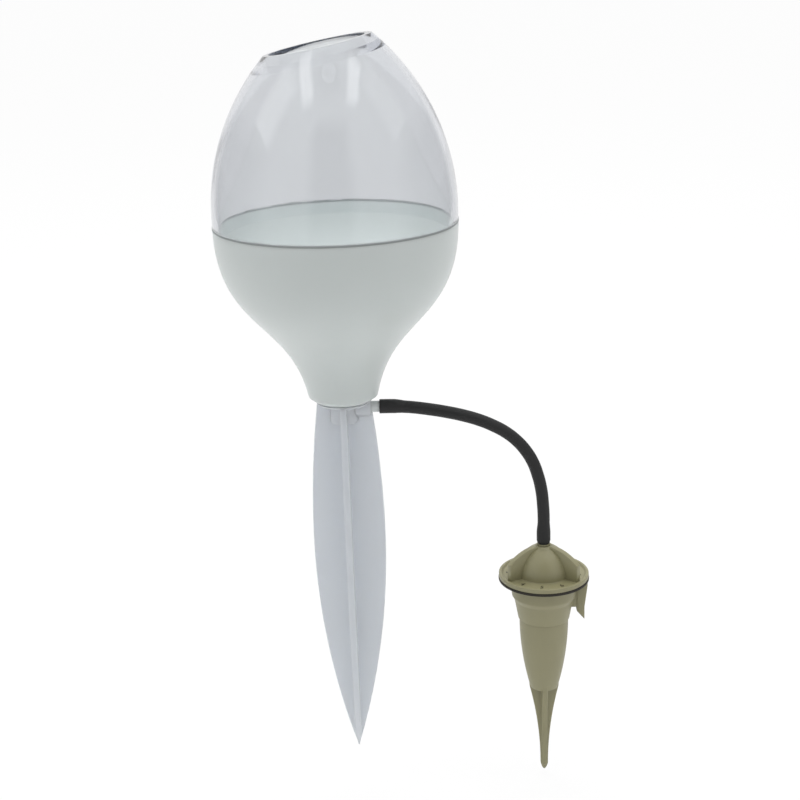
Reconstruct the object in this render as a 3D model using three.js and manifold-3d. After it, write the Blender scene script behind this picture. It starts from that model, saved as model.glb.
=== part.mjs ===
// A small drip watering set: a clear-topped reservoir on a finned ground stake, a short hose and an
// adjustable dripper with its own spike. Millimetres, +Z up. The origin lies on the reservoir's axis, on the
// underside of the stake's flange, where the soil stops it. +X points along the outlet, to the dripper.

import * as THREE from 'three';
import { mergeVertices } from 'three/addons/utils/BufferGeometryUtils.js';
import Module from 'manifold-3d';

const wasm = await Module();
wasm.setup();

// Fits shared by several pieces
const FIT_GAP = 0.3; // between pieces that are pushed together
const TURN_GAP = 0.1; // between round faces that turn on each other
const CUT_OVER = 1; // how far a cutting tool runs past the face that it cuts

// Reservoir
const SEAM_R = 60.4;
const SEAL_THICK = 1;
const SEAL_PROUD = 0.15;
const BOWL_HEIGHT = 90.9; // from its foot to its rim
const BOWL_WALL = 2.4;
const BOWL_SHOULDER = 49.6; // how far the bowl's belly stays full below the rim
const NECK_R = 17.7;
const NECK_RISE = 42.5; // how far the neck's flare reaches up
const NECK_LEAN = 8.4;
const NECK_CHAMFER_Z = 2.4;
const DOME_STRAIGHT = 4.8;
const DOME_ARC = 111.5;
const DOME_TOP = 92; // height of the uncut dome above its straight foot
const DOME_WALL = 2.2;
const DOME_SPIGOT = 6; // how deep the dome's foot reaches into the bowl
const SPIGOT_WALL = 1.8;
const MOUTH_HEIGHT = 84.9; // centre of the fill mouth above the dome's foot
const MOUTH_OFFSET = -5.2;
const MOUTH_TILT = THREE.MathUtils.degToRad(10.5);
const LIP_DEPTH = 6.5;
const LIP_WALL = 3.2; // at the mouth, and more below it

// Outlet in the neck
const FLANGE_R = 13;
const FLANGE_TOP_R = 14.4; // its edge carries the neck's chamfer on
const FLANGE_THICK = 1.2;
const OUTLET_SPIGOT_R = 10;
const OUTLET_SPIGOT_HEIGHT = 12;
const OUTLET_BORE_R = 5.2;
const SOCKET_WALL = 2;
const SOCKET_RISE = 14; // above the bowl's foot
const O_RING_SECTION = 2;
const O_RING_LOW = 6; // above the flange
const STRAINER_THICK = 1.4;
const STRAINER_COLLAR = 1.4;
const STRAINER_SLOTS = 8;
const STRAINER_SLOT_WIDTH = 1.6;
const STRAINER_SLOT_IN = 2.4;
const STRAINER_RIM = 1.4;
const STRAINER_SLOT_OUT = 7.6;

// Stake
const FIN_THICK = 3.3;
const FIN_TOP_R = 13.6;
const FIN_WIDE_R = 18.8;
const FIN_WIDE_Z = -75;
const STAKE_TIP_Z = -198.5;
const HUB_R = 7.2;
const HUB_DEPTH = 10.8;
const HUB_FLOOR = 2;
const BOSS_R = 4.4;
const BOSS_END_X = 13.9;
const OUTLET_Z = -3.4;
const OUTLET_PASSAGE_R = 1.6;
const BARB_SEAT_X = 8;

// Hose and the two barbs that it is pushed on
const HOSE_R = 3.1;
const HOSE_BORE_R = 2;
const HOSE_SIDES = 12;
const HOSE_STEPS = 22;
const STUB_R = 2.9;
const STUB_LENGTH = 3.9;
const NOSE_LENGTH = 10;
const NOSE_R = 1.4;
const NOSE_RIDGES = 2;
const BARB_BORE_R = 0.8;
const DRIPPER_X = 101.8;
const HOSE_END_Z = -81.8;
// The hose's route in the plane Y = 0, as x and z
const HOSE_ROUTE = [
  [18.1, OUTLET_Z], [26, -3.6], [34, -4.4], [43, -5.8], [52, -7.6], [61, -9.9], [69, -12.6], [76, -15.8],
  [82.5, -19.7], [88, -24.4], [92.5, -29.8], [96.2, -36.2], [98.8, -43.5], [100.7, -52], [101.6, -61],
  [101.9, -69], [DRIPPER_X, -75.5], [DRIPPER_X, HOSE_END_Z],
];

// Dripper
const DIAL_R = 23.7;
const DIAL_THICK = 1.5;
const DIAL_RIM_RISE = 0.9;
const DIAL_RIM_WIDTH = 1.4;
const CAP_TOP_DROP = 1.2; // from the hose's end to the cap's top
const CAP_HEIGHT = 16.2; // from the numbered face to the cap's top
const CAP_BOSS_R = 4.2;
const CAP_DOME_R = 14.2;
const CAP_DOME_HEIGHT = 16.4;
const CAP_WALL = 2.2;
const WING_COUNT = 3;
const WING_TURN = THREE.MathUtils.degToRad(84.5);
const WING_THICK = 3.3;
const WING_R = 21;
const WING_END_HEIGHT = 8.8;
const GASKET_R = 23.9;
const GASKET_THICK = 1.5;
const STEM_R = 3;
const STEM_COLLAR_R = 3.4;
const STEM_COLLAR_HEIGHT = 0.6;
const STEM_TAIL = 2; // stem below the retaining ring
const STEM_PORT_R = 1;
const STEM_RING_SECTION = 0.9;
const STEM_RING_DROP = 1.6; // below the cap's top
const METER_R = 14.9;
const METER_THICK = 1.5;
const METER_GROOVE_R = 7.8;
const METER_GROOVE_WIDTH = 1.6;
const METER_GROOVE_DEPTH = 0.8;
const METER_GROOVE_SWEEP = THREE.MathUtils.degToRad(250);
const PORT_R = 1;
const BODY_R = 17;
const BODY_COLLAR = 8.7;
const BODY_LIP_R = 15.6;
const BODY_LIP_DROP = 2.6;
const BODY_FOOT_R = 13.6;
const BODY_HEIGHT = 22.3;
const BODY_PLATE = 3;
const BODY_WALL = 2;
const BODY_SPIGOT = 7;
const BODY_SPIGOT_WALL = 1.6;
const RING_R = 5;
const RING_THICK = 1;
const RING_GROOVE = 0.7;
const SPOUT_R = 23.2;
const SPOUT_NOZZLE_X = 19.5;
const SPOUT_NOZZLE_HALF = 2.1;
const SPOUT_WEB_THICK = 3.4;
const SPOUT_WEB_DROP = 16.8;
const SPOUT_TIP_DROP = 24;
const SPOUT_SLANT = 5;
const SPOUT_BORE_R = 1;
const CONE_R = 13;
const CONE_ARC = 155; // its centre is level with the cone's top
const CONE_WALL = 1.6;
const CONE_HEIGHT = 41.2;
const SPIKE_FIN_THICK = 2.8;
const SPIKE_FIN_ROOT = 14; // how far the fins reach up inside the cone
const SPIKE_FIN_SHOW = 6; // how far up the cone they start to come through its wall
const SPIKE_FIN_PROUD = 0.4;
const SPIKE_TIP_R = 2;
const SPIKE_POINT_R = 0.6;
const SPIKE_POINT = 4;
const SPIKE_HEIGHT = 51.5; // from the cone's rim to the tip

// Roundness
const BIG_SEGMENTS = 40;
const SMALL_SEGMENTS = 20;
const CURVE_STEPS = 8;
const BOWL_STEPS = 10;

// Levels that follow from the sizes above
const BOWL_FOOT_Z = FLANGE_THICK + TURN_GAP;
const BOWL_RIM_Z = BOWL_FOOT_Z + BOWL_HEIGHT;
const DOME_FOOT_Z = BOWL_RIM_Z + SEAL_THICK;
const ARCH_FOOT_Z = DOME_FOOT_Z + DOME_STRAIGHT;
const CAP_TOP_Z = HOSE_END_Z - CAP_TOP_DROP;
const DIAL_TOP_Z = CAP_TOP_Z - CAP_HEIGHT;
const DIAL_LOW_Z = DIAL_TOP_Z - DIAL_THICK;
const GASKET_LOW_Z = DIAL_LOW_Z - GASKET_THICK;
const BODY_TOP_Z = GASKET_LOW_Z - TURN_GAP;
const METER_LOW_Z = BODY_TOP_Z - METER_THICK;
const PLATE_LOW_Z = METER_LOW_Z - BODY_PLATE;
const BODY_LOW_Z = BODY_TOP_Z - BODY_HEIGHT;
const CONE_LOW_Z = BODY_LOW_Z - CONE_HEIGHT;
const SPIKE_TIP_Z = CONE_LOW_Z - SPIKE_HEIGHT;
const STEM_LOW_Z = PLATE_LOW_Z - RING_THICK - STEM_TAIL;

// Finishes
const finish = (color, roughness, extra = {}) =>
  new THREE.MeshStandardMaterial({ color, roughness, metalness: 0, ...extra });
const CLEAR = finish(0xd9dbe2, 0.08, { transparent: true, opacity: 0.35 });
const WHITE = finish(0xd5dad8, 0.3);
const FROSTED = finish(0xbfc3cc, 0.5);
const KHAKI = finish(0x9a947c, 0.5);
const RUBBER = finish(0x2b2a26, 0.75);
const TUBE = finish(0x2a2a2a, 0.6);
const SEAL_GREY = finish(0x8f9494, 0.6);
const BARB_WHITE = finish(0xc2c6c6, 0.4);

// A closed three.js geometry as a solid, with its shared corners merged and its faces outwards
function solid(geometry) {
  const bare = geometry.index ? geometry.toNonIndexed() : geometry.clone();
  bare.deleteAttribute('normal');
  bare.deleteAttribute('uv');
  const merged = mergeVertices(bare, 1e-4);
  const points = merged.attributes.position;
  const faces = [];
  for (let i = 0; i < merged.index.count; i += 3) {
    const [a, b, c] = [0, 1, 2].map((k) => merged.index.getX(i + k));
    if (a !== b && b !== c && c !== a) faces.push(a, b, c);
  }
  const corner = (n) => new THREE.Vector3().fromBufferAttribute(points, n);
  let volume = 0;
  for (let i = 0; i < faces.length; i += 3) {
    volume += corner(faces[i]).dot(corner(faces[i + 1]).cross(corner(faces[i + 2])));
  }
  if (volume < 0) faces.reverse();
  const vertProperties = new Float32Array(points.array);
  const mesh = new wasm.Mesh({ numProp: 3, vertProperties, triVerts: new Uint32Array(faces) });
  return new wasm.Manifold(mesh);
}

function piece(name, body, material) {
  const { vertProperties, triVerts } = body.getMesh();
  const geometry = new THREE.BufferGeometry();
  geometry.setAttribute('position', new THREE.BufferAttribute(vertProperties, 3));
  geometry.setIndex(new THREE.BufferAttribute(triVerts, 1));
  geometry.computeVertexNormals();
  const mesh = new THREE.Mesh(geometry, material);
  mesh.name = name;
  return mesh;
}

// A profile of [radius, height] points turned about Z
function turned(profile, segments = SMALL_SEGMENTS) {
  const points = profile.map(([r, z]) => new THREE.Vector2(r, z));
  return solid(new THREE.LatheGeometry(points, segments).rotateX(Math.PI / 2));
}

// A ring whose profile closes on itself
const ring = (profile, segments) => turned([...profile, profile[0]], segments);

const rod = (r, low, high, segments) => turned([[0, low], [r, low], [r, high], [0, high]], segments);

// A body turned about Z, laid along +X at a height
const alongX = (body, z) => body.rotate([0, 90, 0]).translate([0, 0, z]);

function block(x0, x1, y0, y1, z0, z1) {
  const box = new THREE.BoxGeometry(x1 - x0, y1 - y0, z1 - z0);
  return solid(box.translate((x0 + x1) / 2, (y0 + y1) / 2, (z0 + z1) / 2));
}

// A plate in the XZ plane, centred on Y = 0, from an outline of [x, z] points
function plate(outline, thick) {
  const shape = new THREE.Shape(outline.map(([x, z]) => new THREE.Vector2(x, z)));
  const slab = new THREE.ExtrudeGeometry(shape, { depth: thick, bevelEnabled: false });
  return solid(slab.translate(0, 0, -thick / 2).rotateX(Math.PI / 2));
}

// count + 1 points of a function of 0 to 1
const sampled = (at, count = CURVE_STEPS) => Array.from({ length: count + 1 }, (_, i) => at(i / count));

// The radius of a profile of rising points at a height
function radiusAt(profile, z) {
  const next = profile.findIndex((point) => point[1] > z);
  const [[r0, z0], [r1, z1]] = [profile[next - 1], profile[next]];
  return r0 + ((r1 - r0) * (z - z0)) / (z1 - z0);
}

// A round-section seal of eight flats, from its inner radius, lowest level and section
function sealRing(r, low, section) {
  const flat = section / (2 + Math.SQRT2) * Math.SQRT2;
  const cut = (section - flat) / 2;
  return ring([
    [r, low + cut], [r + cut, low], [r + cut + flat, low], [r + section, low + cut],
    [r + section, low + cut + flat], [r + cut + flat, low + section],
    [r + cut, low + section], [r, low + cut + flat],
  ]);
}

// A push-on nose with ridges, as profile points from its foot upwards
function noseProfile(foot) {
  const pitch = NOSE_LENGTH / (NOSE_RIDGES + 1);
  const ridgeR = HOSE_BORE_R - FIT_GAP;
  const points = [[NOSE_R, foot]];
  for (let i = 1; i <= NOSE_RIDGES; i += 1) {
    points.push([NOSE_R, foot + i * pitch], [ridgeR, foot + i * pitch], [NOSE_R, foot + (i + 0.9) * pitch]);
  }
  return [...points, [BARB_BORE_R, foot + NOSE_LENGTH]];
}

// Four fins as a cross trimmed to a turned outline
function fins(outline, thick, segments) {
  const reach = Math.max(...outline.map(([r]) => r)) + CUT_OVER;
  const levels = outline.map(([, z]) => z);
  const [low, high] = [Math.min(...levels), Math.max(...levels)];
  const across = block(-reach, reach, -thick / 2, thick / 2, low, high);
  return across.add(across.rotate([0, 0, 90])).intersect(turned(outline, segments));
}

// White bowl: a full belly that runs into a slim flared neck
const bowlCurve = new THREE.CubicBezierCurve(
  new THREE.Vector2(NECK_R, BOWL_FOOT_Z + NECK_CHAMFER_Z),
  new THREE.Vector2(NECK_R + NECK_LEAN, BOWL_FOOT_Z + NECK_CHAMFER_Z + NECK_RISE),
  new THREE.Vector2(SEAM_R, BOWL_RIM_Z - BOWL_SHOULDER),
  new THREE.Vector2(SEAM_R, BOWL_RIM_Z),
);
const bowlOutside = sampled((t) => bowlCurve.getPoint(t).toArray(), BOWL_STEPS);
const bowlInside = sampled((t) => {
  const [point, along] = [bowlCurve.getPoint(t), bowlCurve.getTangent(t)];
  return [point.x - BOWL_WALL * along.y, Math.min(point.y + BOWL_WALL * along.x, BOWL_RIM_Z)];
}, BOWL_STEPS);
const BOWL_BORE_R = SEAM_R - BOWL_WALL;
const SOCKET_R = OUTLET_SPIGOT_R + FIT_GAP;
const SOCKET_TOP_Z = BOWL_FOOT_Z + SOCKET_RISE;

function whiteBowl() {
  const floor = bowlInside[0];
  return ring([
    [SOCKET_R, BOWL_FOOT_Z], [FLANGE_TOP_R, BOWL_FOOT_Z], ...bowlOutside, ...[...bowlInside].reverse(),
    [SOCKET_R + SOCKET_WALL, floor[1]], [SOCKET_R + SOCKET_WALL, SOCKET_TOP_Z], [SOCKET_R, SOCKET_TOP_Z],
  ], BIG_SEGMENTS);
}

// Clear dome: a pointed arch turned about the axis, cut off at a slant for the fill mouth
const archRadius = (inwards, rise) => SEAM_R - DOME_ARC + Math.sqrt((DOME_ARC - inwards) ** 2 - rise ** 2);

function domeSolid(inwards, low) {
  const arch = sampled((t) => {
    const rise = DOME_TOP * t;
    return [archRadius(inwards, rise), ARCH_FOOT_Z + rise];
  }).filter(([radius, z]) => radius > 0 && z > low);
  return turned([[0, low], [SEAM_R - inwards, low], ...arch, [0, arch.at(-1)[1]]], BIG_SEGMENTS);
}

// All that lies above the mouth's plane, or above that plane moved down by a depth
function aboveMouth(depth) {
  const size = 4 * SEAM_R;
  const lid = block(-size, size, -size, size, -depth, size);
  const tilt = -THREE.MathUtils.radToDeg(MOUTH_TILT);
  return lid.rotate([0, tilt, 0]).translate([MOUTH_OFFSET, 0, DOME_FOOT_Z + MOUTH_HEIGHT]);
}

function clearDome() {
  const spigotLow = BOWL_RIM_Z - DOME_SPIGOT;
  const spigotR = radiusAt(bowlInside, spigotLow) - FIT_GAP;
  const spigot = rod(spigotR, spigotLow, ARCH_FOOT_Z, BIG_SEGMENTS);
  const bore = rod(spigotR - SPIGOT_WALL, spigotLow - CUT_OVER, ARCH_FOOT_Z, BIG_SEGMENTS);
  const room = domeSolid(DOME_WALL, DOME_FOOT_Z + DOME_STRAIGHT / 2).subtract(aboveMouth(LIP_DEPTH));
  const mouthR = Math.sqrt(archRadius(0, MOUTH_HEIGHT - DOME_STRAIGHT) ** 2 - MOUTH_OFFSET ** 2);
  const mouth = rod(mouthR - LIP_WALL, ARCH_FOOT_Z, ARCH_FOOT_Z + DOME_TOP, BIG_SEGMENTS)
    .translate([MOUTH_OFFSET, 0, 0]);
  return domeSolid(0, DOME_FOOT_Z).add(spigot).subtract(aboveMouth(0)).subtract(room).subtract(bore)
    .subtract(mouth);
}

function rimSeal() {
  return ring([
    [BOWL_BORE_R, BOWL_RIM_Z], [SEAM_R + SEAL_PROUD, BOWL_RIM_Z],
    [SEAM_R + SEAL_PROUD, DOME_FOOT_Z], [BOWL_BORE_R, DOME_FOOT_Z],
  ], BIG_SEGMENTS);
}

// Strainer: a slotted disc on the socket's top, centred by a collar inside it
function outletStrainer() {
  const discR = SOCKET_R + SOCKET_WALL;
  const collarR = SOCKET_R - FIT_GAP;
  let body = rod(discR, SOCKET_TOP_Z, SOCKET_TOP_Z + STRAINER_THICK).add(ring([
    [collarR - STRAINER_RIM, SOCKET_TOP_Z - STRAINER_COLLAR], [collarR, SOCKET_TOP_Z - STRAINER_COLLAR],
    [collarR, SOCKET_TOP_Z + STRAINER_THICK / 2], [collarR - STRAINER_RIM, SOCKET_TOP_Z + STRAINER_THICK / 2],
  ]));
  const half = STRAINER_SLOT_WIDTH / 2;
  const slot = block(STRAINER_SLOT_IN, STRAINER_SLOT_OUT, -half, half,
    SOCKET_TOP_Z - CUT_OVER, SOCKET_TOP_Z + STRAINER_THICK + CUT_OVER);
  for (let i = 0; i < STRAINER_SLOTS; i += 1) {
    body = body.subtract(slot.rotate([0, 0, (i * 360) / STRAINER_SLOTS]));
  }
  return body;
}

// Stake: flange, hollow spigot and hub, outlet boss and four leaf-shaped fins
const O_RING_Z = FLANGE_THICK + O_RING_LOW;
const O_RING_R = SOCKET_R - TURN_GAP - O_RING_SECTION;

function stake() {
  const leaf = [
    [0, FLANGE_THICK / 2], [HUB_R, FLANGE_THICK / 2],
    ...sampled((t) => [FIN_WIDE_R - (FIN_WIDE_R - FIN_TOP_R) * (1 - t) ** 2, FIN_WIDE_Z * t]),
    ...sampled((t) => [FIN_WIDE_R * (1 - t ** 2), FIN_WIDE_Z + (STAKE_TIP_Z - FIN_WIDE_Z) * t]).slice(1),
  ];
  const spigotTop = FLANGE_THICK + OUTLET_SPIGOT_HEIGHT;
  const head = turned([
    [0, -HUB_DEPTH], [HUB_R, -HUB_DEPTH], [HUB_R, 0], [FLANGE_R, 0], [FLANGE_TOP_R, FLANGE_THICK],
    [OUTLET_SPIGOT_R, FLANGE_THICK], [OUTLET_SPIGOT_R, O_RING_Z - FIT_GAP],
    [O_RING_R - TURN_GAP, O_RING_Z - FIT_GAP], [O_RING_R - TURN_GAP, O_RING_Z + O_RING_SECTION + FIT_GAP],
    [OUTLET_SPIGOT_R, O_RING_Z + O_RING_SECTION + FIT_GAP], [OUTLET_SPIGOT_R, spigotTop], [0, spigotTop],
  ], BIG_SEGMENTS);
  const boss = alongX(rod(BOSS_R, 0, BOSS_END_X), OUTLET_Z);
  const well = rod(OUTLET_BORE_R, HUB_FLOOR - HUB_DEPTH, spigotTop + CUT_OVER);
  const passage = alongX(rod(OUTLET_PASSAGE_R, 0, BOSS_END_X), OUTLET_Z);
  const barbSocket = alongX(rod(STUB_R + FIT_GAP, BARB_SEAT_X, FIN_WIDE_R + CUT_OVER), OUTLET_Z);
  return fins(leaf, FIN_THICK, SMALL_SEGMENTS).add(head).add(boss).subtract(well).subtract(passage)
    .subtract(barbSocket);
}

function outletBarb() {
  const foot = BOSS_END_X + STUB_LENGTH;
  const seat = BARB_SEAT_X + FIT_GAP;
  return alongX(ring([
    [BARB_BORE_R, seat], [STUB_R, seat], [STUB_R, foot], ...noseProfile(foot),
  ]), OUTLET_Z);
}

function hose() {
  const section = new THREE.Shape().absarc(0, 0, HOSE_R, 0, 2 * Math.PI);
  section.holes.push(new THREE.Path().absarc(0, 0, HOSE_BORE_R, 0, 2 * Math.PI));
  const extrudePath = new THREE.CatmullRomCurve3(HOSE_ROUTE.map(([x, z]) => new THREE.Vector3(x, 0, z)));
  const roundness = { steps: HOSE_STEPS, curveSegments: HOSE_SIDES / 2 };
  return solid(new THREE.ExtrudeGeometry(section, { ...roundness, extrudePath, bevelEnabled: false }));
}

// Dripper, made about its own axis
const STEM_BORE_R = STEM_R + FIT_GAP;
const STEM_RING_Z = CAP_TOP_Z - STEM_RING_DROP - STEM_RING_SECTION;
const STEM_RING_R = STEM_BORE_R - TURN_GAP - STEM_RING_SECTION;

function inletBarb() {
  const neck = CAP_TOP_Z + FIT_GAP;
  const foot = neck + STEM_COLLAR_HEIGHT;
  const ringTop = PLATE_LOW_Z - TURN_GAP;
  const portZ = DIAL_TOP_Z + (CAP_DOME_HEIGHT - CAP_WALL) / 2;
  const stem = turned([
    [0, STEM_LOW_Z], [STEM_R, STEM_LOW_Z], [STEM_R, ringTop - RING_THICK - TURN_GAP],
    [STEM_R - RING_GROOVE, ringTop - RING_THICK - TURN_GAP], [STEM_R - RING_GROOVE, PLATE_LOW_Z],
    [STEM_R, PLATE_LOW_Z], [STEM_R, STEM_RING_Z - TURN_GAP], [STEM_RING_R - TURN_GAP, STEM_RING_Z - TURN_GAP],
    [STEM_RING_R - TURN_GAP, STEM_RING_Z + STEM_RING_SECTION + TURN_GAP],
    [STEM_R, STEM_RING_Z + STEM_RING_SECTION + TURN_GAP], [STEM_R, neck], [STEM_COLLAR_R, neck],
    [STEM_COLLAR_R, foot], ...noseProfile(foot), [BARB_BORE_R, portZ], [0, portZ],
  ]);
  return stem.subtract(alongX(rod(STEM_PORT_R, -STEM_R - CUT_OVER, STEM_R + CUT_OVER), portZ));
}

// Cap: dome, grip wings and the numbered flange with its raised rim
function dialCap() {
  const dome = (wall) => sampled((t) => {
    const turn = (t * Math.PI) / 2;
    return [(CAP_DOME_R - wall) * Math.cos(turn), DIAL_TOP_Z + (CAP_DOME_HEIGHT - wall) * Math.sin(turn)];
  });
  const rimIn = DIAL_R - DIAL_RIM_WIDTH;
  const rimTop = DIAL_TOP_Z + DIAL_RIM_RISE;
  const outside = turned([
    [0, DIAL_LOW_Z], [DIAL_R, DIAL_LOW_Z], [DIAL_R, rimTop - DIAL_RIM_RISE / 2],
    [DIAL_R - DIAL_RIM_WIDTH / 2, rimTop], [rimIn, rimTop], [rimIn - DIAL_RIM_RISE, DIAL_TOP_Z],
    ...dome(0).filter(([r]) => r > CAP_BOSS_R),
    [CAP_BOSS_R, DIAL_TOP_Z + CAP_DOME_HEIGHT * Math.sqrt(1 - (CAP_BOSS_R / CAP_DOME_R) ** 2)],
    [CAP_BOSS_R, CAP_TOP_Z], [0, CAP_TOP_Z],
  ], BIG_SEGMENTS);
  const crown = new THREE.QuadraticBezierCurve(
    new THREE.Vector2(CAP_BOSS_R, CAP_TOP_Z),
    new THREE.Vector2((CAP_BOSS_R + WING_R) / 2, CAP_TOP_Z),
    new THREE.Vector2(WING_R, DIAL_TOP_Z + WING_END_HEIGHT),
  );
  const wing = plate([
    [0, DIAL_LOW_Z], [WING_R, DIAL_LOW_Z], ...sampled((t) => crown.getPoint(1 - t).toArray()), [0, CAP_TOP_Z],
  ], WING_THICK).rotate([0, 0, THREE.MathUtils.radToDeg(WING_TURN)]);
  const room = turned([
    [0, DIAL_LOW_Z - CUT_OVER], [CAP_DOME_R - CAP_WALL, DIAL_LOW_Z - CUT_OVER],
    ...dome(CAP_WALL).filter(([r]) => r > STEM_BORE_R),
    [STEM_BORE_R, DIAL_TOP_Z + CAP_DOME_HEIGHT - CAP_WALL],
    [STEM_BORE_R, CAP_TOP_Z + CUT_OVER], [0, CAP_TOP_Z + CUT_OVER],
  ]);
  let body = outside;
  for (let i = 0; i < WING_COUNT; i += 1) {
    body = body.add(wing.rotate([0, 0, (i * 360) / WING_COUNT]));
  }
  return body.subtract(room);
}

function dialGasket() {
  const disc = ring([
    [STEM_BORE_R, GASKET_LOW_Z], [GASKET_R, GASKET_LOW_Z], [GASKET_R, DIAL_LOW_Z], [STEM_BORE_R, DIAL_LOW_Z],
  ], BIG_SEGMENTS);
  const port = rod(PORT_R, GASKET_LOW_Z - CUT_OVER, DIAL_LOW_Z + CUT_OVER).translate([-METER_GROOVE_R, 0, 0]);
  return disc.subtract(port);
}

// Metering disc: a groove that starts over the outlet port and runs most of the way round
function meteringDisc() {
  const disc = ring([
    [STEM_BORE_R, METER_LOW_Z], [METER_R, METER_LOW_Z], [METER_R, BODY_TOP_Z], [STEM_BORE_R, BODY_TOP_Z],
  ]);
  const half = METER_GROOVE_WIDTH / 2;
  const path = new THREE.Shape();
  path.absarc(0, 0, METER_GROOVE_R + half, 0, METER_GROOVE_SWEEP);
  path.absarc(0, 0, METER_GROOVE_R - half, METER_GROOVE_SWEEP, 0, true);
  const cut = { depth: METER_GROOVE_DEPTH + CUT_OVER, curveSegments: SMALL_SEGMENTS, bevelEnabled: false };
  const groove = solid(new THREE.ExtrudeGeometry(path, cut));
  const port = rod(PORT_R, METER_LOW_Z - CUT_OVER, BODY_TOP_Z + CUT_OVER).translate([METER_GROOVE_R, 0, 0]);
  return disc.subtract(groove.translate([0, 0, BODY_TOP_Z - METER_GROOVE_DEPTH])).subtract(port);
}

// The cone's outside, rising from its open foot to its top under the body
const coneOutside = sampled((t) => {
  const drop = CONE_HEIGHT * (1 - t);
  return [CONE_R - CONE_ARC + Math.sqrt(CONE_ARC ** 2 - drop ** 2), BODY_LOW_Z - drop];
});

// Spout: a bracket under the dial's rim, a thin web and a nozzle with a slanted tip
function spout() {
  const nozzleIn = SPOUT_NOZZLE_X - SPOUT_NOZZLE_HALF;
  const nozzleOut = SPOUT_NOZZLE_X + SPOUT_NOZZLE_HALF;
  const tip = BODY_TOP_Z - SPOUT_TIP_DROP;
  const webLow = BODY_TOP_Z - SPOUT_WEB_DROP;
  const nozzle = plate([
    [nozzleIn, tip + SPOUT_SLANT], [nozzleOut, tip], [nozzleOut, webLow], [SPOUT_R, PLATE_LOW_Z],
    [SPOUT_R, BODY_TOP_Z], [nozzleIn, BODY_TOP_Z],
  ], 2 * SPOUT_NOZZLE_HALF);
  const web = block(BODY_FOOT_R - BODY_WALL / 2, SPOUT_NOZZLE_X, -SPOUT_WEB_THICK / 2, SPOUT_WEB_THICK / 2,
    webLow, PLATE_LOW_Z);
  const bracket = block(METER_R + FIT_GAP, SPOUT_NOZZLE_X, -SPOUT_NOZZLE_HALF, SPOUT_NOZZLE_HALF,
    PLATE_LOW_Z, BODY_TOP_Z);
  return nozzle.add(web).add(bracket);
}

function dripperBody() {
  const lipZ = BODY_TOP_Z - BODY_COLLAR;
  const spigotR = radiusAt(coneOutside, BODY_LOW_Z - BODY_SPIGOT) - CONE_WALL - FIT_GAP;
  const spigotBore = spigotR - BODY_SPIGOT_WALL;
  const hollowR = BODY_FOOT_R - BODY_WALL;
  const recessR = METER_R + FIT_GAP;
  const cup = ring([
    [STEM_BORE_R, PLATE_LOW_Z], [hollowR, PLATE_LOW_Z], [hollowR, BODY_LOW_Z + hollowR - spigotBore],
    [spigotBore, BODY_LOW_Z], [spigotBore, BODY_LOW_Z - BODY_SPIGOT], [spigotR, BODY_LOW_Z - BODY_SPIGOT],
    [spigotR, BODY_LOW_Z], [BODY_FOOT_R, BODY_LOW_Z], [BODY_LIP_R, lipZ - BODY_LIP_DROP], [BODY_R, lipZ],
    [BODY_R, BODY_TOP_Z], [recessR, BODY_TOP_Z], [recessR, METER_LOW_Z], [STEM_BORE_R, METER_LOW_Z],
  ], BIG_SEGMENTS);
  const gallery = block(METER_GROOVE_R - PORT_R, SPOUT_NOZZLE_X, -SPOUT_BORE_R, SPOUT_BORE_R,
    METER_LOW_Z - BODY_PLATE / 2, METER_LOW_Z);
  const bore = rod(SPOUT_BORE_R, BODY_TOP_Z - SPOUT_TIP_DROP - CUT_OVER, METER_LOW_Z)
    .translate([SPOUT_NOZZLE_X, 0, 0]);
  return cup.add(spout()).subtract(gallery).subtract(bore);
}

function retainingRing() {
  const inner = STEM_R - RING_GROOVE + TURN_GAP;
  const top = PLATE_LOW_Z - TURN_GAP;
  return ring([[inner, top - RING_THICK], [RING_R, top - RING_THICK], [RING_R, top], [inner, top]]);
}

// Cone with an open foot, and the four fins that run from inside it down to the tip
function spikeCone() {
  const inner = coneOutside.map(([r, z]) => [r - CONE_WALL, z]).reverse();
  const shell = ring([...coneOutside, ...inner], BIG_SEGMENTS);
  const rimR = coneOutside[0][0] + SPIKE_FIN_PROUD;
  const pointZ = SPIKE_TIP_Z + SPIKE_POINT;
  const inside = coneOutside.map(([r, z]) => [r - CONE_WALL / 2, z])
    .filter(([, z]) => z > CONE_LOW_Z + SPIKE_FIN_SHOW && z < CONE_LOW_Z + SPIKE_FIN_ROOT).reverse();
  const blade = sampled((t) => [
    SPIKE_TIP_R + (rimR - SPIKE_TIP_R) * (1 - t) ** 2, CONE_LOW_Z + (pointZ - CONE_LOW_Z) * t,
  ]);
  const point = [[SPIKE_POINT_R, SPIKE_TIP_Z], [0, SPIKE_TIP_Z]];
  const outline = [[0, inside[0][1]], ...inside, ...blade, ...point];
  return shell.add(fins(outline, SPIKE_FIN_THICK, SMALL_SEGMENTS));
}

const reservoir = new THREE.Group();
reservoir.add(
  piece('white_bowl', whiteBowl(), WHITE),
  piece('rim_seal', rimSeal(), SEAL_GREY),
  piece('clear_dome', clearDome(), CLEAR),
  piece('outlet_strainer', outletStrainer(), BARB_WHITE),
);

const ground = new THREE.Group();
ground.add(
  piece('stake', stake(), FROSTED),
  piece('neck_o_ring', sealRing(O_RING_R, O_RING_Z, O_RING_SECTION), RUBBER),
  piece('outlet_barb', outletBarb(), BARB_WHITE),
);

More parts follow.
